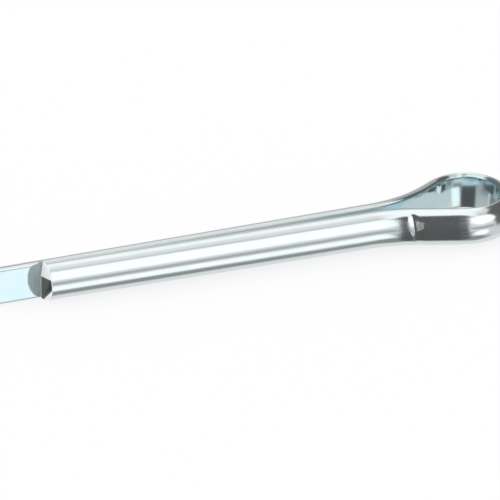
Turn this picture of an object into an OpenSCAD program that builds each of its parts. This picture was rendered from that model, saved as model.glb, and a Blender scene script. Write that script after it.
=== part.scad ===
// Cotter pin bent from one length of half-round wire, lying on its side.
// The short leg is in front (-Y) and the long leg behind it (+Y).

/* [Wire] */
// Diameter of the shank, where the two half-round legs lie together
shank_diameter = 5.65; // [5.2:0.05:6.1]
// Rounding along the two edges of the wire's flat side
edge_rounding = 0.45; // [0.25:0.05:0.6]
// How far the wire's surface draws in where it is bent
bend_thinning = 0.01; // [0.005:0.005:0.03]

/* [Length] */
// Nominal length, from the mouth of the pin's hole to the end of the short leg
nominal_length = 50.8; // [30:0.1:80]
// From the mouth of the hole to the centre of the eye's round end
neck_length = 12; // [10.5:0.1:14]
// How far the long leg runs on past the short one
long_leg_extra = 6.8; // [3:0.1:12]

/* [Eye] */
// Inside radius of the eye's round end
eye_radius = 4.65; // [4.2:0.05:5.2]
// How far the eye stands off the line between the legs, towards the long one
eye_lean = 0.65; // [0:0.05:1]
// Inside radius of the long leg's side of the eye
long_side_radius = 4.7; // [4:0.1:6]
// Angle at which the long leg's side runs in from the eye
long_flare_angle = 32; // [29:0.5:34]
// Radius of the long leg's flat side at the neck
long_neck_radius = 19; // [14:0.5:21]
// Inside radius of the short leg's side of the eye
short_side_radius = 10; // [8:0.5:12]
// Angle at which the short leg's side runs in from the eye
short_flare_angle = 18.5; // [16:0.5:21]
// Radius of the short leg's flat side at the neck
short_neck_radius = 20; // [15:0.5:24]

/* [Legs] */
// Angle of each leg to the line between them
splay_angle = 0.7; // [0.4:0.05:0.9]
// Gap between the flats at the end of the short leg
tip_gap = 0.04; // [0.04:0.01:0.2]

/* [Sheared tip] */
// Slant of the short leg's cut end, back from its flat side
bevel_angle = 14.5; // [5:0.5:20]
// Extra slant of the cut end's upper part
roll_angle = 7; // [3:0.5:12]
// Height of the line between the two slants, above the wire's middle
roll_height = 0.7; // [0.3:0.05:1.2]
// Length of the cutter's nick in the long leg's flat side
nick_length = 1.9; // [1:0.1:3]
// Depth of the nick at the cut
nick_depth = 0.35; // [0.15:0.05:0.6]

/* [Neck marks] */
// Distance of the crease in the short leg from the end of its flare, towards the tip
crease_offset = 0.1; // [0:0.05:0.5]
// Radius of the tool that pressed the crease
crease_radius = 0.6; // [0.4:0.05:1]
// Depth of the crease
crease_depth = 0.18; // [0.1:0.02:0.3]
// Distance of the pressed spot from the crease, towards the eye
spot_offset = 1.15; // [0.8:0.05:2]
// Radius of the tool that pressed the spot
spot_tool_radius = 1.6; // [1:0.1:2.5]
// Depth of the spot
spot_depth = 0.12; // [0.05:0.01:0.2]

/* [Hidden] */
$fn = 96;

wire_radius = shank_diameter / 2;
// Lap of each bend into its neighbours.
lap = 0.1;
// Reach of a cutting tool beyond what it cuts.
clear = 4 * wire_radius;

short_end_x = -neck_length - nominal_length;
long_end_x = short_end_x - long_leg_extra;
eye_end_x = eye_radius + wire_radius;

// Half-height of the section's flat part, where its edge rounding starts.
function flat_half(r) = sqrt(r * r - 2 * r * edge_rounding);

// One point on the edge rounding of a section of radius r.
function edge_point(r, a) = [edge_rounding * (1 + cos(a)), flat_half(r) + edge_rounding * sin(a)];

// The last facet of the rounding meets the round side at the section's highest point.
facet_angle = 30;
last_point = edge_point(wire_radius, 180 - 2 * facet_angle);
last_slope = tan(facet_angle / 2);
last_rise = last_point[1] - last_slope * last_point[0];
last_square = 1 + last_slope * last_slope;
crest_root = sqrt(last_square * wire_radius * wire_radius - last_rise * last_rise);
crest_x = (crest_root - last_slope * last_rise) / last_square;
crest = last_rise + last_slope * crest_x;

// Length of a side's straight flare, so that its leg ends at the tip gap.
function flare_length(top, side_r, flare, neck_r) =
  let (
    level = top - side_r * (1 - cos(flare)) - neck_r * (cos(splay_angle) - cos(flare)),
    reach = -side_r * sin(flare) - neck_r * (sin(flare) - sin(splay_angle)) - short_end_x
  )
  (level - tip_gap / 2 - reach * tan(splay_angle)) / (sin(flare) - cos(flare) * tan(splay_angle));

function flare_start(top, side_r, flare) = [-side_r * sin(flare), top - side_r * (1 - cos(flare))];

function flare_end(top, side_r, flare, neck_r) =
  flare_start(top, side_r, flare)
  - flare_length(top, side_r, flare, neck_r) * [cos(flare), sin(flare)];

// Half-round section, flat on x = 0, drawn in on every side by inset.
module wire_section(inset = 0) {
  r = wire_radius - inset;
  edge = [for (i = [0 : 2]) edge_point(r, 180 - i * facet_angle)];
  outside = edge[2] + 2 * wire_radius * [1, last_slope];
  upper = concat(edge, [outside]);
  lower = [for (i = [3 : -1 : 0]) [upper[i][0], -upper[i][1]]];
  intersection() {
    circle(r = r);
    translate([inset, 0]) polygon(concat(upper, lower));
  }
}

// Bend with its flat side at the given radius; outward puts the round side outside.
module bend(radius, start, sweep, outward = true) {
  lap_angle = lap / radius * 180 / PI;
  rotate([0, 0, start - lap_angle])
    rotate_extrude(angle = sweep + 2 * lap_angle)
      translate([radius, 0])
        mirror([outward ? 0 : 1, 0])
          wire_section(bend_thinning);
}

// Straight length whose flat side starts at a point and runs at an angle to X.
module straight(at, angle, length) {
  translate([at[0], at[1], 0])
    rotate([90, 0, angle + 90])
      linear_extrude(height = length)
        wire_section();
}

// One side of the pin, from the widest place of the eye to the end of the leg.
module side(top, side_r, flare, neck_r, end_x) {
  narrow = flare_end(top, side_r, flare, neck_r);
  neck_centre = narrow + neck_r * [-sin(flare), cos(flare)];
  leg_start = neck_centre + neck_r * [sin(splay_angle), -cos(splay_angle)];
  run = leg_start[0] - end_x;
  translate([0, top - side_r, 0]) bend(side_r, 90, flare);
  straight(narrow, flare, flare_length(top, side_r, flare, neck_r));
  translate([neck_centre[0], neck_centre[1], 0])
    bend(neck_r, splay_angle - 90, flare - splay_angle, outward = false);
  straight([end_x, leg_start[1] - run * tan(splay_angle)], splay_angle, run / cos(splay_angle));
}

module wire() {
  translate([0, eye_lean, 0])
    rotate([0, 0, -90])
      rotate_extrude(angle = 180)
        translate([eye_radius, 0])
          wire_section();
  side(eye_radius + eye_lean, long_side_radius, long_flare_angle, long_neck_radius, long_end_x);
  mirror([0, 1, 0])
    side(eye_radius - eye_lean, short_side_radius, short_flare_angle, short_neck_radius, short_end_x - lap);
}

// Everything past the slanted cut, on the short leg's side only.
module past_cut(height) {
  slant = clear * tan(bevel_angle);
  linear_extrude(height = height)
    polygon([[0, 0], [slant, -clear], [-clear, -clear], [-clear, 0]]);
}

module tip_cut() {
  translate([short_end_x, 0, -clear]) past_cut(2 * clear);
  translate([short_end_x, 0, roll_height]) rotate([0, roll_angle, 0]) past_cut(clear);
}

module nick() {
  flat_y = tip_gap / 2;
  translate([short_end_x, flat_y, -clear])
    linear_extrude(height = 2 * clear)
      polygon([[0, nick_depth], [-nick_length, 0], [-nick_length, -wire_radius], [0, -wire_radius]]);
}

// Tools at the narrow end of the short leg's flare, x along the wire and y into it.
module neck_marks() {
  narrow = flare_end(eye_radius - eye_lean, short_side_radius, short_flare_angle, short_neck_radius);
  mirror([0, 1, 0])
    translate([narrow[0], narrow[1], 0])
      rotate([0, 0, short_flare_angle]) {
        translate([-crease_offset, 0, 0])
          rotate([0, 90, 0])
            rotate_extrude()
              translate([wire_radius + crease_radius - crease_depth, 0])
                circle(r = crease_radius);
        translate([spot_offset - crease_offset, 0, 0])
          rotate([20, 0, 0])
            translate([0, wire_radius + spot_tool_radius - spot_depth, 0])
              sphere(r = spot_tool_radius);
      }
}

module cotter_pin() {
  color("#C9D6DA")
    translate([-(eye_end_x + long_end_x) / 2, -eye_lean, crest])
      difference() {
        wire();
        tip_cut();
        nick();
        neck_marks();
      }
}

cotter_pin();
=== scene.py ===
import math
from functools import partial
from types import SimpleNamespace

import bmesh
import bpy
import numpy as np
from bpy.props import FloatProperty, FloatVectorProperty, IntProperty, PointerProperty
from mathutils import Matrix, Vector


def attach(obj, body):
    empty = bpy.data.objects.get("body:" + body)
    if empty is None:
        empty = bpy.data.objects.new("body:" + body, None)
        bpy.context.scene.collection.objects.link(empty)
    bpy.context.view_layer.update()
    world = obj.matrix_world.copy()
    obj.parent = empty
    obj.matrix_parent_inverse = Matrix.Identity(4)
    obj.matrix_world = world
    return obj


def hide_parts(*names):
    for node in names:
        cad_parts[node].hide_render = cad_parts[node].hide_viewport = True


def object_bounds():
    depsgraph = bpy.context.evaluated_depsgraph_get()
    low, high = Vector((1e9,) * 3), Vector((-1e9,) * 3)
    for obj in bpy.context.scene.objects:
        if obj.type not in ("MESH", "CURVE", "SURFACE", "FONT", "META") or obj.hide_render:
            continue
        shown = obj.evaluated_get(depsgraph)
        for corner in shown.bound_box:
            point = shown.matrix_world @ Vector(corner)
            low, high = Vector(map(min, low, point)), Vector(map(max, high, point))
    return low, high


bl_info = {
    "name": "Cotter Pin",
    "version": (1, 0, 0),
    "blender": (4, 5, 0),
    "location": "3D View > Sidebar > Cotter Pin",
    "description": "Sweeps, marks, plates and lights one cotter pin around its solid",
    "category": "Object",
}

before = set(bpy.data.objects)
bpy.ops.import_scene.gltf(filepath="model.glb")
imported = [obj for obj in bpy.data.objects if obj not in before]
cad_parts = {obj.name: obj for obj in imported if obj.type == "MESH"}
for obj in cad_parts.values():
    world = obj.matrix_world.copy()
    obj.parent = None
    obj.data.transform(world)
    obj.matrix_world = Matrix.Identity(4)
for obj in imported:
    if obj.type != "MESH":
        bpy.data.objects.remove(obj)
SOLID_LOW, SOLID_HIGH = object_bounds()

NODE = "cotter_pin"
BODY = "root"
MM = 0.001

# Stations along the wire: their spacing, how much of each leg's end is fine, and how many lie in the
# eye's bends. At a rim they lie at shares of its radius, and they keep clear of the rim and of a wall.
FINE_STEP, NECK_STEP, COARSE_STEP = 0.12 * MM, 0.2 * MM, 0.6 * MM
SHORT_FINE, LONG_FINE = 3 * MM, 10 * MM
SIDE_STATIONS, EYE_STATIONS = 14, 91
RIM_STATIONS = (1.0, 0.62, 0.29, 0.08, 0.0)
RIM_CLEAR = 1.4
WALL_HALF_GAP, WALL_CLEAR = 0.012 * MM, 0.05 * MM

# Points round the section. Its points are put in order about a middle, which is a share of the radius.
CORNER_POINTS, FLAT_POINTS = 9, 25
MERGE_DISTANCE = 0.002 * MM
SECTION_MIDDLE = 0.35

# The flat side's changes are full at the flat and gone at this height over it.
FLAT_REACH = 1.2 * MM
# The flat side's grain and plating are gone at this height over it, and the nick's floor at this one.
GRAIN_REACH, NICK_REACH = 0.12 * MM, 0.05 * MM
# A pressed facet ends in a knee, given from the edge of the flat. Most of the rounded edge's points lie
# on the facet, at shares of its width.
KNEE_HEIGHT, KNEE_WIDTH = 0.015 * MM, 0.08 * MM
FACET_SHARE = 0.8
FACET_POINTS = (0, 0.25, 0.5, 0.75, 0.9, 0.97, 1)
FACET_GRAIN = 0.7
# Length over which bending evens out.
BEND_BLUR = 0.7 * MM

# Spans for between: where each starts, its rise, where it ends and its fall.
# The long leg's flare, along the wire from the eye's centre, and the edges of its flat.
FLARE_SPAN = (-14 * MM, 2 * MM, -0.5 * MM, 3 * MM)
FLARE_EDGE, FLARE_EDGE_RISE = 1.7 * MM, 0.7 * MM
# The flatter part of the short leg's side, from the flare's narrow end.
FLATTENED_SPAN = (-0.5 * MM, 6.5 * MM, 9 * MM, 2.6 * MM)
# The scuffed band, round the section.
SCUFF_SPAN = (math.radians(4), 0.2, math.radians(42), 0.2)

# Round the section, the crease fades out below its top, and above its foot it rises from its least share.
CREASE_TOP, CREASE_TOP_FADE = math.radians(66), 0.5
CREASE_FOOT, CREASE_FOOT_FADE, CREASE_LEAST = math.radians(-8), 0.4, 0.25

# The pressed spot is a polygon with these sides, in radii along the wire and round it, and its edge is
# this wide. Its floor is crumpled by waves, given as radians per radius.
SPOT_SIDES = ((1.0, -0.3), (-1.1, 0.0), (0.25, 0.9), (0.4, -0.95))
SPOT_EDGE = 0.35
CRUMPLE, CRUMPLE_ALONG, CRUMPLE_AROUND, CRUMPLE_START = 0.5, 5.5, 5, 0.5
# How rough a scuff gets, and how dull the spot's plating is, as shares.
SCUFF_SHARE, SPOT_DULL = 0.8, 0.15

# Between the legs the plating is dull, up to this distance from the line between them, with this fade.
SHUT_END, SHUT_FADE = 0.96 * MM, 0.6 * MM

# The cut ends: how far a slant reaches along the wire, the rings of a cap as shares of the section, and
# their middle as a share of the radius.
CUT_REACH = 3 * MM
CAP_SHARES = (0.93, 0.8, 0.62, 0.42, 0.2)
CAP_MIDDLE = 0.42
# The shear broke the cut end's lower corner off along this line, in height over the flat and height.
BREAK_START, BREAK_END = np.array([2.68 * MM, -0.45 * MM]), np.array([0.45 * MM, -2.8 * MM])

# The image's width and height, where the eye's centre falls in it, and its scale at the pin, in pixels.
IMAGE_SIZE = 500
EYE_COLUMN, EYE_ROW = 467.4, 210.07
PIXELS_PER_MM = 7.15

# Light, as a share of white: the tent's walls, and the level for all that isn't a shine.
WALLS, EVEN_LIGHT = 0.8, 1.0
# What stands before the walls, the nearest last: its light, then its place and its edges in degrees.
# A window has its lowest and highest elevation, its left and right azimuth, and how soft its level and
# its upright edges are. Azimuth 0 is the front, and 90 the right.
# A panel has its azimuth, its elevation, its half width, its half height, its tilt, how square its
# corners are and how soft its edge is.
COVERS = (
    # A softbox over the pin, a little behind it, and two pale strips on its right.
    ("panel", 1.1, (140, 81, 42, 24, 0, 3, 12)),
    ("window", 0.82, (66, 77, 56, 108, 4, 14)),
    ("window", 0.66, (61, 72, 32, 56, 4, 8)),
    # Low in front, a dark band. On the left, a grey side with a lighter band and a dark post.
    ("window", 0.29, (-80, -48, -54, 58, 8, 30)),
    ("window", 0.42, (-85, 15, -105, -54, 14, 3)),
    ("window", 0.53, (-50, -27, -104, -58, 4, 6)),
    ("window", 0.26, (-26, 15, -105, -76, 6, 8)),
    # Behind on the left: a bright strip, with a black card over it and a dark foot.
    ("window", 1.1, (-24, 5, -175, -125, 3, 16)),
    ("window", 0.16, (2, 58, -175, -98, 6, 8)),
    ("window", 0.26, (-85, -24, -175, -112, 3, 12)),
    # Low on the right: a pale side, and a grey strip that runs along the horizon to the front.
    ("window", 0.7, (-52, 5, 30, 92, 14, 5)),
    ("window", 0.45, (-11, 5, -3, 40, 8, 3)),
    # The right: a large dark card with a darker middle, and a grey side behind it.
    ("window", 0.15, (-10, 60, 45, 130, 26, 10)),
    ("window", 0.12, (10, 62, 62, 128, 6, 6)),
    ("window", 0.42, (-4, 48, 130, 200, 14, 10)),
    # Low in front: a light panel in a grey surround.
    ("panel", 0.5, (12, -30, 18, 13, 0, 3, 4)),
    ("panel", 1.15, (17, -30, 13, 13, 0, 3, 4)),
    # The main softbox, in front on the right, and a small black card over it.
    ("panel", 1.2, (24, 38, 24, 21, 14, 3, 4)),
    ("window", 0.11, (60, 77, -24, 11, 4, 4)),
    # A tall black card in front on the left.
    ("card", 0.1, (-76, 72, -54, 60, 4, 4)),
)
# The black card's right edge is here at the horizon, and leans out by so much at this elevation.
CARD_EDGE_START, CARD_EDGE_END = -4.0, -6.5
CARD_LEAN, CARD_LEAN_AT = 8.0, 60.0


# Helpers.


def linear(hex_colour):
    """Linear RGBA of an sRGB hex colour."""
    channels = [int(hex_colour[i : i + 2], 16) / 255 for i in (1, 3, 5)]
    return tuple(c / 12.92 if c <= 0.04045 else ((c + 0.055) / 1.055) ** 2.4 for c in channels) + (1.0,)


def add_node(tree, kind, settings=None, inputs=None):
    """Adds a node with its settings; an input given as a socket is linked, and any other is set."""
    node = tree.nodes.new(kind)
    for key, value in (settings or {}).items():
        setattr(node, key, value)
    for key, value in (inputs or {}).items():
        socket = node.inputs[key]
        if isinstance(value, bpy.types.NodeSocket):
            tree.links.new(value, socket)
        else:
            socket.default_value = value
    return node


def link_object(name, data):
    """Puts a mesh or a camera into the scene as an object."""
    obj = bpy.data.objects.new(name, data)
    bpy.context.scene.collection.objects.link(obj)
    return obj


def smooth(t):
    """0 below 0, 1 above 1, and an even rise between them."""
    t = np.clip(t, 0, 1)
    return t * t * (3 - 2 * t)


def between(value, start, rise, end, fall):
    """1 between start and end, with an even rise from the one and fall to the other, and 0 outside."""
    return smooth((value - start) / rise) * smooth((end - value) / fall)


# Sizes, colours and light that a user would change.


def length(name, description, default):
    """A length property whose default is given in millimetres."""
    return FloatProperty(name=name, description=description, default=default * MM, unit="LENGTH")


def turn(name, description, default):
    """An angle property whose default is given in degrees."""
    return FloatProperty(name=name, description=description, default=math.radians(default), unit="ROTATION")


class COTTERPIN_PG_sizes(bpy.types.PropertyGroup):
    shank_radius: length("Shank Radius", "Radius of the half-round wire", 2.825)
    edge_rounding: length("Edge Rounding", "Rounding along the edges of the wire's flat side", 0.45)
    nominal_length: length("Nominal Length", "From the hole's mouth to the short leg's end", 50.8)
    neck_length: length("Neck Length", "From the hole's mouth to the eye's centre", 12)
    long_leg_extra: length("Long Leg Extra", "How far the long leg runs past the short one", 6.8)
    eye_radius: length("Eye Radius", "Inside radius of the eye's round end", 4.65)
    eye_lean: length("Eye Lean", "How far the eye stands off the line between the legs", 0.65)
    long_side_radius: length("Long Side Radius", "Inside radius of the long leg's side of the eye", 4.7)
    long_flare: turn("Long Side Flare", "Angle of the long leg's side", 32)
    long_neck_radius: length("Long Neck Radius", "Radius of the long leg's flat at the neck", 19)
    short_side_radius: length("Short Side Radius", "Inside radius of the short leg's side of the eye", 10)
    short_flare: turn("Short Side Flare", "Angle of the short leg's side", 18.5)
    short_neck_radius: length("Short Neck Radius", "Radius of the short leg's flat at the neck", 20)
    splay: turn("Splay", "Angle of each leg to the line between them", 0.7)
    tip_gap: length("Tip Gap", "Gap between the flats at the short leg's end", 0.04)
    around: IntProperty(name="Steps Around", description="Faces around the half-round side", default=64)


class COTTERPIN_PG_marks(bpy.types.PropertyGroup):
    bevel: turn("Cut Slant", "Slant of the short leg's cut end", 14.5)
    roll: turn("Upper Slant", "Extra slant of the cut end's upper part", 9)
    roll_height: length("Slant Line", "Height of the line between the two slants", 0.7)
    roll_tilt: FloatProperty(
        name="Slant Line Tilt",
        description="Rise of the line between the slants, away from the flat",
        default=0.18,
    )
    rim: length("Rim", "Rounding of the cut rims", 0.09)
    facet: FloatProperty(
        name="Facet",
        description="How far the flat side's edges are pressed to facets in the eye",
        default=1.0,
    )
    crown: FloatProperty(
        name="Crown", description="Cross curve of the flat side as a share of the bend's own", default=0.15
    )
    thinning: length("Thinning", "How much thinner the wire is in the eye's bend", 0.03)
    edge_softening: length("Edge Softening", "How far the flat's edges draw back on the long flare", 0.06)
    flattening: length("Flattening", "How much flatter the short leg's side of the eye is outside", 0.12)
    nick_length: length("Nick Length", "Length of the cutter's nick", 1.9)
    nick_depth: length("Nick Depth", "Depth of the cutter's nick", 0.35)
    nick_height: length("Nick Half Height", "Half the height of the cutter's nick", 2.62)
    nick_top: FloatProperty(name="Nick Top", description="Squareness of the nick's upper corner", default=4)
    nick_foot: FloatProperty(
        name="Nick Foot", description="Squareness of the nick's lower corner", default=1.6
    )
    lip_length: length("Lip Length", "Length of the short leg's lip in the nick", 0.35)
    crease_offset: length("Crease Offset", "From the flare's end to the crease, towards the tip", -0.25)
    crease_slant: FloatProperty(
        name="Crease Slant", description="How far the crease moves along the wire per height", default=0.18
    )
    crease_steep: length("Crease Steep Side", "Length of the crease's steep side", 0.75)
    crease_gentle: length("Crease Gentle Side", "Length of the crease's gentle side", 1.2)
    crease_depth: length("Crease Depth", "Depth of the crease", 0.2)
    spot_offset: length("Spot Offset", "Distance of the pressed spot from the crease", 0.8)
    spot_angle: turn("Spot Angle", "Place of the pressed spot round the section", 24)
    spot_radius: length("Spot Radius", "Radius of the pressed spot", 0.62)
    spot_depth: length("Spot Depth", "Depth of the pressed spot", 0.04)
    scuff_offset: length("Scuff Offset", "From the crease to the scuffed band, towards the tip", 0.8)
    scuff_length: length("Scuff Half Length", "Half the length of the scuffed band", 0.55)


class COTTERPIN_PG_stage(bpy.types.PropertyGroup):
    azimuth: turn("Azimuth", "Camera's turn to the left of the front", 19.41)
    elevation: turn("Elevation", "Camera's height above the horizon", 28)
    distance: length("Distance", "Camera's distance from the pin", 1300)
    field: length("Field", "Width of what the camera sees at the pin", IMAGE_SIZE / PIXELS_PER_MM)
    floor_half: length("Floor Half Width", "Half the width of the floor", 1500)
    glow: FloatProperty(
        name="Floor Glow", description="Share of the floor's light that is its own", default=0.8
    )
    floor: FloatVectorProperty(
        name="Floor", description="Floor colour", subtype="COLOR", size=4, default=linear("#FFFFFF")
    )


# The wire's path. The flat side's line is followed in plan from the short leg's end, round the eye,
# to the long leg's end. A station is a row of x, y and the two parts of the outward normal.


def side_rows(s, top, side_radius, flare, neck_radius, leg_distances):
    """One side, from the eye's widest place to the end of its leg, and the narrow end of its flare."""
    short_end = -s.neck_length - s.nominal_length
    tan_splay = math.tan(s.splay)
    # The straight run is as long as brings the leg's flat down to half the gap at the short leg's end.
    level = top - side_radius * (1 - math.cos(flare)) - neck_radius * (math.cos(s.splay) - math.cos(flare))
    reach = -side_radius * math.sin(flare) - neck_radius * (math.sin(flare) - math.sin(s.splay)) - short_end
    straight = (level - s.tip_gap / 2 - reach * tan_splay) / (math.sin(flare) - math.cos(flare) * tan_splay)
    rows = []

    def put(x, y, angle):
        rows.append((x, y, -math.sin(angle), math.cos(angle)))

    for i in range(1, SIDE_STATIONS):
        a = flare * i / SIDE_STATIONS
        put(-side_radius * math.sin(a), top - side_radius * (1 - math.cos(a)), a)
    start = Vector((-side_radius * math.sin(flare), top - side_radius * (1 - math.cos(flare))))
    down = Vector((-math.cos(flare), -math.sin(flare)))
    steps = max(2, round(straight / FINE_STEP))
    for i in range(steps):
        p = start + down * (straight * i / steps)
        put(p.x, p.y, flare)
    narrow = start + down * straight
    centre = narrow + neck_radius * Vector((-math.sin(flare), math.cos(flare)))
    steps = max(8, round(neck_radius * (flare - s.splay) / NECK_STEP))
    for i in range(steps):
        a = flare + (s.splay - flare) * i / steps
        put(centre.x + neck_radius * math.sin(a), centre.y - neck_radius * math.cos(a), a)
    leg = centre + neck_radius * Vector((math.sin(s.splay), -math.cos(s.splay)))
    for distance in leg_distances(leg.x):
        put(leg.x - distance, leg.y - distance * tan_splay, s.splay)
    return np.array(rows), narrow


def leg_stations(run, fine_length, wall, rim):
    """Distances along a leg: fine near its end, close together at a wall across the flat and at the rim."""
    plain = run - fine_length
    coarse = np.linspace(0, plain, max(2, round(plain / COARSE_STEP)), endpoint=False)
    fine = np.linspace(plain, run, max(2, round(fine_length / FINE_STEP)) + 1)
    base = np.concatenate([coarse, fine])
    base = np.concatenate([base[base < run - RIM_CLEAR * rim], run - rim * np.array(RIM_STATIONS)])
    base = base[np.abs(base - wall) > WALL_CLEAR]
    return np.sort(np.concatenate([base, [wall - WALL_HALF_GAP, wall + WALL_HALF_GAP]]))


def wire_path(s, m):
    """The whole path, with which stations lie on each leg's side."""
    short_end = -s.neck_length - s.nominal_length
    long_end = short_end - s.long_leg_extra

    def short_distances(start):
        run = start - short_end
        return leg_stations(run, SHORT_FINE, run - m.lip_length, m.rim)

    def long_distances(start):
        run = start - long_end
        return leg_stations(run, LONG_FINE, run - s.long_leg_extra - m.lip_length, m.rim)

    short, narrow = side_rows(
        s, s.eye_radius - s.eye_lean, s.short_side_radius, s.short_flare, s.short_neck_radius, short_distances
    )
    long, _ = side_rows(
        s, s.eye_radius + s.eye_lean, s.long_side_radius, s.long_flare, s.long_neck_radius, long_distances
    )
    short[:, [1, 3]] *= -1
    angles = np.linspace(-math.pi / 2, math.pi / 2, EYE_STATIONS)
    out = np.column_stack([np.cos(angles), np.sin(angles)])
    eye = np.column_stack([s.eye_radius * out + [0, s.eye_lean], out])
    rows = np.concatenate([short[::-1], eye, long])
    index = np.arange(len(rows))
    return SimpleNamespace(
        rows=rows,
        x=rows[:, 0],
        on_short=index < len(short),
        on_long=index >= len(short) + len(eye),
        short_end=short_end,
        narrow=np.array([narrow.x, -narrow.y]),
    )


def lengths_along(rows):
    """The path's length up to each station."""
    return np.concatenate([[0], np.cumsum(np.hypot(*np.diff(rows[:, :2], axis=0).T))])


# The sweep tree: the section is drawn from its sizes and follows the path.


def sweep_tree():
    """Builds the tree that sweeps the half-round section along a path and numbers its stations."""
    tree = bpy.data.node_groups.new("Half-round wire sweep", "GeometryNodeTree")
    add = partial(add_node, tree)
    face = tree.interface
    face.new_socket("Path", in_out="INPUT", socket_type="NodeSocketGeometry")
    for name, kind in (
        ("Shank Radius", "NodeSocketFloat"),
        ("Edge Rounding", "NodeSocketFloat"),
        ("Steps Around", "NodeSocketInt"),
        ("Finish", "NodeSocketMaterial"),
    ):
        face.new_socket(name, in_out="INPUT", socket_type=kind)
    face.new_socket("Wire", in_out="OUTPUT", socket_type="NodeSocketGeometry")
    given = add("NodeGroupInput").outputs
    radius, rounding = given["Shank Radius"], given["Edge Rounding"]

    # A corner circle touches the flat at half_flat and the round side at the angle touch.
    double = add("ShaderNodeMath", {"operation": "MULTIPLY"}, {0: radius, 1: 2.0}).outputs[0]
    taken = add("ShaderNodeMath", {"operation": "MULTIPLY"}, {0: double, 1: rounding}).outputs[0]
    squared = add("ShaderNodeMath", {"operation": "MULTIPLY"}, {0: radius, 1: radius}).outputs[0]
    squared = add("ShaderNodeMath", {"operation": "SUBTRACT"}, {0: squared, 1: taken}).outputs[0]
    half_flat = add("ShaderNodeMath", {"operation": "SQRT"}, {0: squared}).outputs[0]
    minus_flat = add("ShaderNodeMath", {"operation": "MULTIPLY"}, {0: half_flat, 1: -1.0}).outputs[0]
    touch = add("ShaderNodeMath", {"operation": "ARCTAN2"}, {0: half_flat, 1: rounding}).outputs[0]
    minus_touch = add("ShaderNodeMath", {"operation": "MULTIPLY"}, {0: touch, 1: -1.0}).outputs[0]
    round_sweep = add("ShaderNodeMath", {"operation": "MULTIPLY"}, {0: touch, 1: 2.0}).outputs[0]
    corner_sweep = add("ShaderNodeMath", {"operation": "SUBTRACT"}, {0: math.pi, 1: touch}).outputs[0]

    flat_ends = [add("ShaderNodeCombineXYZ", None, {1: y}).outputs[0] for y in (half_flat, minus_flat)]
    flat = add("GeometryNodeCurvePrimitiveLine", None, {"Start": flat_ends[0], "End": flat_ends[1]})
    flat = add("GeometryNodeResampleCurve", None, {"Curve": flat.outputs[0], "Count": FLAT_POINTS})
    arcs = []
    for steps, r, start, sweep, x, y in (
        (given["Steps Around"], radius, minus_touch, round_sweep, 0.0, 0.0),
        (CORNER_POINTS, rounding, touch, corner_sweep, rounding, half_flat),
        (CORNER_POINTS, rounding, math.pi, corner_sweep, rounding, minus_flat),
    ):
        arc = add(
            "GeometryNodeCurveArc",
            {"mode": "RADIUS"},
            {"Resolution": steps, "Radius": r, "Start Angle": start, "Sweep Angle": sweep},
        )
        centre = add("ShaderNodeCombineXYZ", None, {0: x, 1: y})
        arcs.append(
            add("GeometryNodeTransform", None, {"Geometry": arc.outputs[0], "Translation": centre.outputs[0]})
        )
    joined = add("GeometryNodeJoinGeometry")
    for piece in (arcs[0], arcs[1], flat, arcs[2]):
        tree.links.new(piece.outputs[0], joined.inputs[0])
    outline = add("GeometryNodeCurveToMesh", None, {"Curve": joined.outputs[0]})
    outline = add(
        "GeometryNodeMergeByDistance", None, {"Geometry": outline.outputs[0], "Distance": MERGE_DISTANCE}
    )
    section = add("GeometryNodeMeshToCurve", None, {"Mesh": outline.outputs[0]})

    path = add("GeometryNodeMeshToCurve", None, {"Mesh": given["Path"]})
    path = add("GeometryNodeSetCurveNormal", {"mode": "Z_UP"}, {"Curve": path.outputs[0]})
    index = add("GeometryNodeInputIndex")
    path = add(
        "GeometryNodeStoreNamedAttribute",
        {"data_type": "INT", "domain": "POINT"},
        {"Geometry": path.outputs[0], "Name": "station", "Value": index.outputs[0]},
    )
    wire = add(
        "GeometryNodeCurveToMesh", None, {"Curve": path.outputs[0], "Profile Curve": section.outputs[0]}
    )
    wire = add("GeometryNodeRealizeInstances", None, {"Geometry": wire.outputs[0]})
    wire = add("GeometryNodeSetMaterial", None, {"Geometry": wire.outputs[0], "Material": given["Finish"]})
    add("NodeGroupOutput", None, {"Wire": wire.outputs[0]})
    return tree


def swept_mesh(rows, sizes, finish):
    """Runs the sweep tree on the path and returns the plain mesh."""
    path = bpy.data.meshes.new("wire_path")
    path.from_pydata([(x, y, 0) for x, y in rows[:, :2]], [(i, i + 1) for i in range(len(rows) - 1)], [])
    carrier = link_object("wire_path", path)
    tree = sweep_tree()
    modifier = carrier.modifiers.new("Sweep", "NODES")
    modifier.node_group = tree
    given = {
        "Shank Radius": sizes.shank_radius,
        "Edge Rounding": sizes.edge_rounding,
        "Steps Around": sizes.around,
        "Finish": finish,
    }
    for item in tree.interface.items_tree:
        if item.in_out == "INPUT" and item.name in given:
            modifier[item.identifier] = given[item.name]
    bpy.context.view_layer.update()
    graph = bpy.context.evaluated_depsgraph_get()
    mesh = bpy.data.meshes.new_from_object(carrier.evaluated_get(graph))
    bpy.data.objects.remove(carrier)
    bpy.data.meshes.remove(path)
    return mesh


# Shaping. The swept tube is read back as one ring of points for each station, in the wire's own
# measures: h is the height over the flat side, outward, and z the height from the wire's middle.


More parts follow.
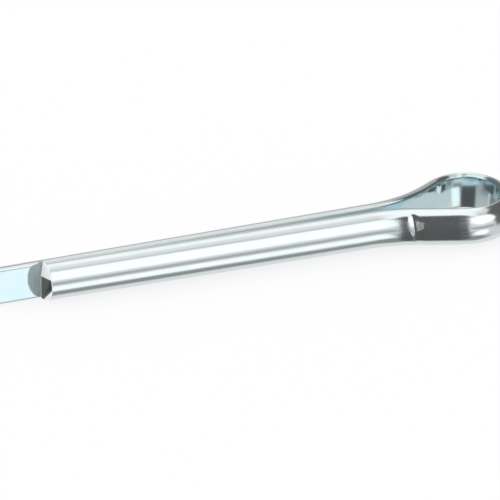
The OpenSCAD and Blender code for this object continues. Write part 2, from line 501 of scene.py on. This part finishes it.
def read_rings(mesh, rows, s):
    """The swept points by station, in order round the section."""
    count = len(rows)
    station = np.zeros(len(mesh.vertices), int)
    mesh.attributes["station"].data.foreach_get("value", station)
    co = np.zeros(len(mesh.vertices) * 3)
    mesh.vertices.foreach_get("co", co)
    co = co.reshape(-1, 3)
    h = ((co[:, :2] - rows[station, :2]) * rows[station, 2:4]).sum(1)
    z = co[:, 2]
    turned = np.arctan2(z, h - SECTION_MIDDLE * s.shank_radius)
    order = np.lexsort((turned, station))
    per = len(station) // count
    if per * count != len(station) or (station[order].reshape(count, per) != np.arange(count)[:, None]).any():
        raise RuntimeError("the sweep didn't give the same number of points at every station")
    return h[order].reshape(count, per), z[order].reshape(count, per)


def cut_nick(path, h, z, s, m):
    """The cutter's nick in the long leg's flat, with a D-shaped outline, and the short leg's lip in it."""
    corner = np.where(z < 0, m.nick_foot, m.nick_top)
    reach = m.nick_length * np.clip(1 - np.abs(z / m.nick_height) ** corner, 1e-3, 1) ** (1 / corner)
    into = np.clip(1 + (path.x - path.short_end)[:, None] / reach, 0, 1)
    before_lip = path.x <= path.short_end + m.lip_length
    ramp = np.where((path.on_long & before_lip)[:, None], m.nick_depth * into, 0.0)
    h = np.maximum(h, ramp)
    # The cutter drags the short leg's flat side down into the nick.
    on_lip = path.on_short & (path.x < path.short_end + m.lip_length)
    lip = np.where(on_lip, m.nick_depth - s.tip_gap, 0.0)[:, None]
    return h - lip * np.clip(1 - h / FLAT_REACH, 0, 1), ramp


def bend_rate(rows):
    """How sharply the path turns at each station, evened out along it."""
    run = lengths_along(rows)
    rate = np.gradient(np.unwrap(np.arctan2(rows[:, 3], rows[:, 2]))) / np.gradient(run)
    evened = [np.average(rate, weights=np.exp(-(((run - at) / BEND_BLUR) ** 2))) for at in run]
    return np.array(evened)[:, None]


def press_bends(path, h, z, s, m):
    """What bending does: facets along the flat side's edges, a crowned flat side and thinner wire."""
    half_flat = math.sqrt(s.shank_radius**2 - 2 * s.shank_radius * s.edge_rounding)
    touch = math.atan2(half_flat, s.edge_rounding)
    outer_h = s.edge_rounding * (1 + math.cos(touch))
    outer_z = half_flat + s.edge_rounding * math.sin(touch)
    knee_h, knee_z = KNEE_HEIGHT, half_flat + KNEE_WIDTH
    in_corner = (np.abs(z) > half_flat) & (h < outer_h)
    share = (np.arctan2(np.abs(z) - half_flat, h - s.edge_rounding) - touch) / (math.pi - touch)
    share = np.clip(share, 0, 1)
    on_facet = share < FACET_SHARE
    even = np.arange(len(FACET_POINTS)) / (CORNER_POINTS - 1)
    t = np.where(on_facet, np.interp(share, even, FACET_POINTS), share)
    facet_h = np.where(on_facet, outer_h + (knee_h - outer_h) * t, knee_h * (1 - t))
    facet_z = np.where(on_facet, outer_z + (knee_z - outer_z) * t, knee_z + (half_flat - knee_z) * t)

    bend = bend_rate(path.rows)
    bent = np.clip(bend * s.eye_radius, 0, 1)
    pressed = m.facet * bent * in_corner
    h = h + pressed * (facet_h - h)
    z = z + pressed * (np.sign(z) * facet_z - z)
    near_flat = np.clip(1 - h / FLAT_REACH, 0, 1)
    h = h + m.crown * bend * z**2 * near_flat
    h = h - m.thinning * bent * np.clip(h / s.shank_radius, 0, 1)

    # The flat side's edges draw back where the long leg's side flares.
    flaring = (path.on_long * between(path.x, *FLARE_SPAN))[:, None]
    near_edge = np.clip((np.abs(z) - FLARE_EDGE) / FLARE_EDGE_RISE, 0, 1) ** 2
    h = h + m.edge_softening * flaring * near_flat * near_edge
    return h, z, pressed


def mark_neck(path, h, z, s, m):
    """The short leg's neck: the eye's side made flatter, the crease and the spot, and what they scuff."""
    # Along the flare's line from its narrow end; the rest of the wire is as good as a metre away.
    flare_line = np.array([math.cos(s.short_flare), -math.sin(s.short_flare)])
    along = np.where(path.on_short, (path.rows[:, :2] - path.narrow) @ flare_line, 1.0)[:, None]
    angle = np.arctan2(z, h)
    flattened = between(along, *FLATTENED_SPAN)
    h = h - m.flattening * flattened * np.clip(h / s.shank_radius, 0, 1)

    # The crease is steep towards the tip and gentle towards the eye, and fades up and down the side.
    from_crease = along + m.crease_offset + m.crease_slant * z
    steep, gentle = smooth(1 + from_crease / m.crease_steep), smooth(1 - from_crease / m.crease_gentle)
    top_fade = smooth((CREASE_TOP - angle) / CREASE_TOP_FADE)
    foot_fade = CREASE_LEAST + (1 - CREASE_LEAST) * smooth((angle - CREASE_FOOT) / CREASE_FOOT_FADE)
    crease = np.where(from_crease < 0, steep, gentle) * (top_fade * foot_fade)

    # The spot is a flat-bottomed polygon with a lightly crumpled floor.
    u = (from_crease - m.spot_offset) / m.spot_radius
    v = s.shank_radius * (angle - m.spot_angle) / m.spot_radius
    spot = (1 - np.maximum.reduce([a * u + b * v for a, b in SPOT_SIDES])) / SPOT_EDGE
    crumple = 1 + CRUMPLE * np.cos(CRUMPLE_ALONG * u + CRUMPLE_START) * np.cos(CRUMPLE_AROUND * v)
    sink = m.crease_depth * crease + m.spot_depth * smooth(spot) * crumple
    scale = 1 - sink / np.maximum(np.hypot(h, z), 1e-6)

    # A band beside the crease is scuffed, and so is the spot.
    band = smooth(1 - np.abs(from_crease + m.scuff_offset) / m.scuff_length) * between(angle, *SCUFF_SPAN)
    on_spot = smooth(2 * spot) * path.on_short[:, None]
    scuff = SCUFF_SHARE * np.maximum(on_spot, band * path.on_short[:, None])
    return h * scale, z * scale, on_spot, scuff


def round_rims(path, h, z, m):
    """Rounds the rims of both cuts, by drawing the last rings in where they are."""
    for end, leg in ((0, path.on_short), (-1, path.on_long)):
        depth = np.abs(path.x - path.x[end])
        near = leg & (depth < m.rim)
        across = np.roll(h[near], -1, 1) - np.roll(h[near], 1, 1)
        up = np.roll(z[near], -1, 1) - np.roll(z[near], 1, 1)
        inset = (m.rim - np.sqrt(m.rim**2 - (m.rim - depth[near]) ** 2))[:, None]
        inset = inset / (np.hypot(across, up) + 1e-12)
        h[near] -= up * inset
        z[near] += across * inset


def cut_shift(h, z, m):
    """How far the short leg's cut stands back from its flat side: two slants that meet in a line."""
    over_line = np.clip(z - m.roll_height - m.roll_tilt * h, 0, None)
    return math.tan(m.bevel) * np.clip(h, 0, None) + math.tan(m.roll) * over_line


def placed(row, h, z, shift):
    """Points of one station or of all, moved along the wire by shift, towards the eye."""
    row = row[..., None, :]
    along = np.stack([row[..., 3], -row[..., 2]], -1)
    along = np.where(along[..., :1] > 0, along, -along)
    plan = row[..., :2] + h[..., None] * row[..., 2:4] + shift[..., None] * along
    return np.concatenate([plan, z[..., None]], -1)


def shape_wire(tube, path, s, m):
    """Shapes the rings, closes the cut ends and returns a new mesh with the attributes for its finish."""
    h, z = read_rings(tube, path.rows, s)
    count, per = h.shape
    h, ramp = cut_nick(path, h, z, s, m)
    h, z, pressed = press_bends(path, h, z, s, m)
    h, z, on_spot, scuff = mark_neck(path, h, z, s, m)
    round_rims(path, h, z, m)

    depth = (path.x - path.short_end)[:, None]
    fade = np.where(path.on_short[:, None] & (depth < CUT_REACH), 1 - depth / CUT_REACH, 0.0)
    points = [placed(path.rows, h, z, fade * cut_shift(h, z, m)).reshape(-1, 3)]
    pairs = [(j, (j + 1) % per) for j in range(per)]
    rings = range(0, (count - 1) * per, per)
    faces = [(ring + j, ring + k, ring + per + k, ring + per + j) for ring in rings for j, k in pairs]

    # Caps: rings drawn in towards the middle of the section, and a fan round the middle.
    middle = CAP_MIDDLE * s.shank_radius
    cap_size = len(CAP_SHARES) * per + 1
    caps = []
    for end, slanted in ((0, 1), (count - 1, 0)):
        cap_h = np.concatenate([middle + (h[end] - middle) * f for f in CAP_SHARES] + [[middle]])
        cap_z = np.concatenate([z[end] * f for f in CAP_SHARES] + [[0.0]])
        points.append(placed(path.rows[end], cap_h, cap_z, slanted * cut_shift(cap_h, cap_z, m)))
        outer, start = end * per, count * per + len(caps) * cap_size
        centre = start + cap_size - 1
        for inner in range(start, centre, per):
            faces += [(outer + j, inner + j, inner + k, outer + k) for j, k in pairs]
            outer = inner
        faces += [(outer + j, centre, outer + k) for j, k in pairs]
        caps.append((cap_h, cap_z))

    # From the eye's centre to the middle of the box's bottom face.
    points = np.concatenate(points)
    points[:, 0] -= (s.eye_radius + s.shank_radius + path.short_end - s.long_leg_extra) / 2
    points[:, 1] -= s.eye_lean
    points[:, 2] += (SOLID_LOW.z + SOLID_HIGH.z) / 2
    made = bpy.data.meshes.new("pin")
    made.from_pydata(points.tolist(), [], faces)

    marks = finish_marks(path, h, z, caps[0], ramp, pressed, on_spot, scuff, s, m)
    for name, (on_rings, *on_caps) in marks.items():
        parts = [np.broadcast_to(on_rings, (count, per)).ravel()]
        parts += [np.broadcast_to(on_cap, cap_size) for on_cap in on_caps]
        layer = made.attributes.new(name, "FLOAT", "POINT")
        layer.data.foreach_set("value", np.concatenate(parts).astype(np.float32))
    work = bmesh.new()
    work.from_mesh(made)
    bmesh.ops.recalc_face_normals(work, faces=work.faces)
    for face in work.faces:
        face.smooth = True
    work.to_mesh(made)
    work.free()
    return made


def inside_cut(h, z, m):
    """Distance inside the shear's mark, between the slant line, the broken lower corner and the flat."""
    line = (BREAK_END - BREAK_START) / np.hypot(*(BREAK_END - BREAK_START))
    from_break = (h - BREAK_START[0]) * line[1] - (z - BREAK_START[1]) * line[0]
    return np.minimum.reduce([m.roll_height + m.roll_tilt * h - z, from_break, h])


def finish_marks(path, h, z, short_cap, ramp, pressed, on_spot, scuff, s, m):
    """What the finish follows, by name: its values on the rings and on the short and the long end's cap."""
    run = lengths_along(path.rows)
    ring = len(h) // 3
    girth = np.concatenate([[0], np.cumsum(np.hypot(np.diff(h[ring]), np.diff(z[ring])))])
    cap_girth = np.concatenate([np.tile(girth, len(CAP_SHARES)), [0.0]])
    flat_side = np.clip(1 - (h - ramp) / GRAIN_REACH, 0, 1)
    cut_face = np.full(h.shape, -1 * MM)
    cut_face[0] = inside_cut(h[0], z[0], m)
    # The end of the short leg, with the rounding of its rim.
    cut_end = np.zeros(h.shape)
    cut_end[: len(RIM_STATIONS) - 1] = 1
    # Between the legs the plating is thin and dull, as little of the bath reached it.
    legs = (path.x > path.short_end) & (path.x < 0) & (path.on_short | path.on_long)
    shut = smooth((SHUT_END - np.abs(path.rows[:, 1])) / SHUT_FADE) * legs
    dull = np.maximum(shut[:, None] * (h < s.edge_rounding), SPOT_DULL * on_spot)
    return {
        "along": (run[:, None], run[0], run[-1]),
        "around": (girth, cap_girth, cap_girth),
        "flat_side": (np.maximum(flat_side, FACET_GRAIN * pressed), 0, 0),
        "cut_face": (cut_face, inside_cut(*short_cap, m), -1 * MM),
        "scuff": (scuff, 0, 0),
        "dull": (dull, 0, 0),
        "cut_end": (cut_end, 1, 0),
        "nick": ((ramp > 0) & (h < ramp + NICK_REACH), 0, 0),
    }


# Finish.


def zinc_plate():
    """Mild steel wire, drawn to a half-round, barrel plated with zinc and dipped in a clear blue chromate.

    It is a bright mirror-like metal, with a cool cast, faint draw lines along the wire and the fine
    pitting of a barrel plate.
    """
    material = bpy.data.materials.new("Clear blue chromated zinc plate")
    material.use_nodes = True
    tree = material.node_tree
    tree.nodes.clear()
    add = partial(add_node, tree)
    along, around, flat_side, cut_face, cut_end, scuff, dull, nick = (
        add("ShaderNodeAttribute", {"attribute_name": name}).outputs["Fac"]
        for name in ("along", "around", "flat_side", "cut_face", "cut_end", "scuff", "dull", "nick")
    )
    place = add("ShaderNodeTexCoord").outputs["Object"]

    # Draw lines: about 0.12 mm apart round the wire and 8 mm long.
    grain = add("ShaderNodeCombineXYZ", None, {0: along, 1: around}).outputs[0]
    size = (1 / (8 * MM), 1 / (0.12 * MM), 0.0)
    grain = add("ShaderNodeVectorMath", {"operation": "MULTIPLY"}, {0: grain, 1: size}).outputs[0]
    lines = add(
        "ShaderNodeTexNoise", {"noise_dimensions": "2D"}, {"Vector": grain, "Scale": 1.0, "Detail": 2.0}
    ).outputs["Fac"]
    # Barrel pits about 0.3 mm across, slow waves about 5 mm long and patches of film about 3 mm across.
    pits, waves, film = (
        add(
            "ShaderNodeTexNoise", None, {"Vector": place, "Scale": 1 / (across * MM), "Detail": detail}
        ).outputs["Fac"]
        for across, detail in ((0.3, 2.0), (5, 3.0), (3, 3.0))
    )

    # The shear's mark is a darker warm grey; the rolled end round it is a matt near-white painted highlight.
    edge = {"Value": cut_face, "From Min": -0.02 * MM, "From Max": 0.02 * MM, "To Max": cut_end}
    cut = add("ShaderNodeMapRange", None, edge).outputs[0]
    rolled_end_painted_highlight = add("ShaderNodeMath", {"operation": "SUBTRACT"}, {0: cut_end, 1: cut}).outputs[0]
    matt = dull
    for share, amount in ((rolled_end_painted_highlight, 1.6), (nick, 1.2)):
        share = add("ShaderNodeMath", {"operation": "MULTIPLY"}, {0: share, 1: amount}).outputs[0]
        matt = add("ShaderNodeMath", {"operation": "MAXIMUM"}, {0: matt, 1: share}).outputs[0]

    # The film is bluest on the flat side and in its own patches.
    tint, film_rough, line_rough = (
        add(
            "ShaderNodeMapRange",
            None,
            {"Value": value, "From Min": low, "From Max": high, "To Min": to_low, "To Max": to_high},
        ).outputs[0]
        for value, low, high, to_low, to_high in (
            (film, 0.35, 0.65, 0.0, 0.2),
            (film, 0.4, 0.7, 0.0, 0.03),
            (lines, 0.3, 0.7, 0.1, 0.16),
        )
    )
    bare = add("ShaderNodeMath", {"operation": "SUBTRACT"}, {0: flat_side, 1: dull}).outputs[0]
    tint = add("ShaderNodeMath", {"operation": "MULTIPLY_ADD"}, {0: bare, 1: 0.65, 2: tint}).outputs[0]
    colour = linear("#EBF1F1")
    # The rolled end's near-white, matt and almost without metal, is a painted highlight.
    for share, hex_colour in ((tint, "#CEEAF1"), (cut, "#A29D99"), (nick, "#A5B3B6"), (rolled_end_painted_highlight, "#FAFCFC")):
        mixed = {"Factor": share, "A": colour, "B": linear(hex_colour)}
        colour = add("ShaderNodeMix", {"data_type": "RGBA"}, mixed).outputs["Result"]

    rough = add("ShaderNodeMath", {"operation": "ADD"}, {0: line_rough, 1: film_rough}).outputs[0]
    for share, more in ((cut, 0.06), (scuff, 0.3), (matt, 0.35)):
        rough = add("ShaderNodeMath", {"operation": "MULTIPLY_ADD"}, {0: share, 1: more, 2: rough}).outputs[0]
    metallic = add("ShaderNodeMath", {"operation": "MULTIPLY_ADD"}, {0: matt, 1: -0.6, 2: 1.0}).outputs[0]
    # Heights of the waves, the pits and the lines.
    relief = 0.0
    for pattern, high in ((waves, 0.012 * MM), (pits, 0.0034 * MM), (lines, 0.0011 * MM)):
        relief = add("ShaderNodeMath", {"operation": "MULTIPLY_ADD"}, {0: pattern, 1: high, 2: relief})
        relief = relief.outputs[0]
    bump = add("ShaderNodeBump", None, {"Strength": 1.0, "Distance": 1.0, "Height": relief})
    shader = add(
        "ShaderNodeBsdfPrincipled",
        None,
        {"Base Color": colour, "Metallic": metallic, "Roughness": rough, "Normal": bump.outputs[0]},
    )
    add("ShaderNodeOutputMaterial", None, {"Surface": shader.outputs[0]})
    return material


class COTTERPIN_OT_wire(bpy.types.Operator):
    """Sweep the half-round wire, mark it, cut its ends and plate it"""

    bl_idname = "cotterpin.wire"
    bl_label = "Make Wire"

    def execute(self, context):
        s, m = context.scene.cotterpin_sizes, context.scene.cotterpin_marks
        finish = zinc_plate()
        path = wire_path(s, m)
        tube = swept_mesh(path.rows, s, finish)
        mesh = shape_wire(tube, path, s, m)
        bpy.data.meshes.remove(tube)
        mesh.materials.append(finish)
        pin = link_object("plated_wire", mesh)
        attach(pin, BODY)
        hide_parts(NODE)
        return {"FINISHED"}


# Stage.


class COTTERPIN_OT_stage(bpy.types.Operator):
    """Lay the floor, light it and aim the camera"""

    bl_idname = "cotterpin.stage"
    bl_label = "Make Stage"

    def execute(self, context):
        st, s = context.scene.cotterpin_stage, context.scene.cotterpin_sizes
        make_floor(st)
        make_world(context.scene)
        make_camera(context.scene, st, s)
        context.scene.view_settings.view_transform = "Standard"
        return {"FINISHED"}


def make_floor(st):
    """A white card, most of whose light is its own, so that shadows stay faint. Metal doesn't show it."""
    mesh = bpy.data.meshes.new("floor")
    half = st.floor_half
    corners = [(-half, -half, 0), (half, -half, 0), (half, half, 0), (-half, half, 0)]
    mesh.from_pydata(corners, [], [(0, 1, 2, 3)])
    floor = link_object("floor", mesh)
    floor.visible_glossy = False
    material = bpy.data.materials.new("White card")
    material.use_nodes = True
    tree = material.node_tree
    tree.nodes.clear()
    shade = add_node(tree, "ShaderNodeBsdfDiffuse", None, {"Color": st.floor})
    glow = add_node(tree, "ShaderNodeEmission", None, {"Color": st.floor, "Strength": 1.0})
    mixed = {0: st.glow, 1: shade.outputs[0], 2: glow.outputs[0]}
    shader = add_node(tree, "ShaderNodeMixShader", None, mixed)
    add_node(tree, "ShaderNodeOutputMaterial", None, {"Surface": shader.outputs[0]})
    mesh.materials.append(material)


def window(add, elevation, azimuth, low, high, left, right, soft, soft_sides):
    """1 between two elevations and two azimuths, with soft edges."""
    cover = 1.0
    for angle, edge, half in (
        (elevation, low, soft / 2),
        (elevation, high, -soft / 2),
        (azimuth, left, soft_sides / 2),
        (azimuth, right, -soft_sides / 2),
    ):
        rise = {"Value": angle, "From Min": edge - half, "From Max": edge + half, "To Max": cover}
        cover = add("ShaderNodeMapRange", {"interpolation_type": "SMOOTHSTEP"}, rise).outputs[0]
    return cover


def panel(add, direction, azimuth, elevation, across, upward, tilt, corner, soft):
    """1 on a panel with round corners that faces the pin."""
    a, e, t = (math.radians(angle) for angle in (azimuth, elevation, tilt))
    aim = Vector((math.sin(a) * math.cos(e), -math.cos(a) * math.cos(e), math.sin(e)))
    right = Vector((math.cos(a), math.sin(a), 0))
    up = Vector((-math.sin(a) * math.sin(e), math.cos(a) * math.sin(e), math.cos(e)))
    axes = (math.cos(t) * right + math.sin(t) * up, math.cos(t) * up - math.sin(t) * right, aim)
    *sides, ahead = (
        add("ShaderNodeVectorMath", {"operation": "DOT_PRODUCT"}, {0: direction, 1: axis}).outputs["Value"]
        for axis in axes
    )
    reach = 0.0
    for value, half in zip(sides, (across, upward)):
        for operation, other in (
            ("ARCTAN2", ahead),
            ("DIVIDE", math.radians(half)),
            ("ABSOLUTE", 0.0),
            ("POWER", corner),
            ("ADD", reach),
        ):
            value = add("ShaderNodeMath", {"operation": operation}, {0: value, 1: other}).outputs[0]
        reach = value
    reach = add("ShaderNodeMath", {"operation": "POWER"}, {0: reach, 1: 1 / corner}).outputs[0]
    edge = soft / (across + upward)
    fall = {"Value": reach, "From Min": 1 + edge, "From Max": 1 - edge}
    return add("ShaderNodeMapRange", {"interpolation_type": "SMOOTHSTEP"}, fall).outputs[0]


def make_world(scene):
    """A white light tent with softboxes and cards, which only a shine shows, over even white light."""
    world = bpy.data.worlds.new("Light tent")
    scene.world = world
    world.use_nodes = True
    tree = world.node_tree
    tree.nodes.clear()
    add = partial(add_node, tree)
    direction = add("ShaderNodeTexCoord").outputs["Generated"]
    axes = add("ShaderNodeSeparateXYZ", None, {0: direction}).outputs
    front = add("ShaderNodeMath", {"operation": "MULTIPLY"}, {0: axes[1], 1: -1.0}).outputs[0]
    elevation = add("ShaderNodeMath", {"operation": "ARCSINE"}, {0: axes[2]}).outputs[0]
    azimuth = add("ShaderNodeMath", {"operation": "ARCTAN2"}, {0: axes[0], 1: front}).outputs[0]
    elevation, azimuth = (
        add("ShaderNodeMath", {"operation": "DEGREES"}, {0: angle}).outputs[0]
        for angle in (elevation, azimuth)
    )

    # The azimuth as the black card's right edge sees it, which leans out towards its top and its foot.
    steep = add("ShaderNodeMath", {"operation": "DIVIDE"}, {0: elevation, 1: CARD_LEAN_AT}).outputs[0]
    steep = add("ShaderNodeMath", {"operation": "MULTIPLY"}, {0: steep, 1: steep}).outputs[0]
    lean = add("ShaderNodeMath", {"operation": "MULTIPLY_ADD"}, {0: steep, 1: -CARD_LEAN, 2: azimuth})

    light = WALLS
    for kind, level, sizes in COVERS:
        if kind == "panel":
            cover = panel(add, direction, *sizes)
        else:
            cover = window(add, elevation, azimuth, *sizes)
        if kind == "card":
            edge = {"Value": lean.outputs[0], "From Min": CARD_EDGE_START, "From Max": CARD_EDGE_END}
            edge["To Max"] = cover
            cover = add("ShaderNodeMapRange", {"interpolation_type": "SMOOTHSTEP"}, edge).outputs[0]
        mixed = {"Factor": cover, "A": light, "B": level}
        light = add("ShaderNodeMix", {"data_type": "FLOAT"}, mixed).outputs["Result"]
    ray = add("ShaderNodeLightPath").outputs
    shine = {0: ray["Is Glossy Ray"], 1: ray["Is Transmission Ray"]}
    shine = add("ShaderNodeMath", {"operation": "MAXIMUM"}, shine).outputs[0]
    mixed = {"Factor": shine, "A": EVEN_LIGHT, "B": light}
    strength = add("ShaderNodeMix", {"data_type": "FLOAT"}, mixed).outputs["Result"]
    background = add("ShaderNodeBackground", None, {"Color": linear("#FFFFFF"), "Strength": strength})
    add("ShaderNodeOutputWorld", None, {"Surface": background.outputs[0]})


def make_camera(scene, st, s):
    """Aims a long lens so that the eye's centre falls where it should in the image."""
    a, e = st.azimuth, st.elevation
    back = Vector((-math.sin(a) * math.cos(e), -math.cos(a) * math.cos(e), math.sin(e)))
    right = Vector((math.cos(a), -math.sin(a), 0))
    up = Vector((math.sin(a) * math.sin(e), math.cos(a) * math.sin(e), math.cos(e)))
    eye_x = SOLID_HIGH.x - s.eye_radius - s.shank_radius
    axis = (SOLID_LOW.z + SOLID_HIGH.z) / 2
    pixel = st.field / IMAGE_SIZE
    middle = IMAGE_SIZE / 2
    target = Vector((eye_x, -s.eye_lean, axis))
    target -= right * (EYE_COLUMN - middle) * pixel + up * (middle - EYE_ROW) * pixel
    data = bpy.data.cameras.new("Camera")
    data.lens = data.sensor_width * st.distance / st.field
    data.clip_start, data.clip_end = 0.01, 20
    camera = link_object("Camera", data)
    turned = Matrix((right, up, back)).transposed().to_4x4()
    camera.matrix_world = Matrix.Translation(target + back * st.distance) @ turned
    scene.camera = camera


class COTTERPIN_PT_panel(bpy.types.Panel):
    """Buttons and sizes for the pin"""

    bl_label = "Cotter Pin"
    bl_idname = "COTTERPIN_PT_panel"
    bl_space_type = "VIEW_3D"
    bl_region_type = "UI"
    bl_category = "Cotter Pin"

    def draw(self, context):
        layout = self.layout
        for settings, operator in (
            (context.scene.cotterpin_sizes, None),
            (context.scene.cotterpin_marks, "cotterpin.wire"),
            (context.scene.cotterpin_stage, "cotterpin.stage"),
        ):
            box = layout.box()
            for name in settings.__annotations__:
                box.prop(settings, name)
            if operator:
                box.operator(operator)


CLASSES = (
    COTTERPIN_PG_sizes,
    COTTERPIN_PG_marks,
    COTTERPIN_PG_stage,
    COTTERPIN_OT_wire,
    COTTERPIN_OT_stage,
    COTTERPIN_PT_panel,
)


def register():
    for cls in CLASSES:
        bpy.utils.register_class(cls)
    bpy.types.Scene.cotterpin_sizes = PointerProperty(type=COTTERPIN_PG_sizes)
    bpy.types.Scene.cotterpin_marks = PointerProperty(type=COTTERPIN_PG_marks)
    bpy.types.Scene.cotterpin_stage = PointerProperty(type=COTTERPIN_PG_stage)


def unregister():
    del bpy.types.Scene.cotterpin_stage
    del bpy.types.Scene.cotterpin_marks
    del bpy.types.Scene.cotterpin_sizes
    for cls in reversed(CLASSES):
        bpy.utils.unregister_class(cls)


def main():
    register()
    bpy.ops.cotterpin.wire()
    bpy.ops.cotterpin.stage()


if __name__ == "__main__":
    main()
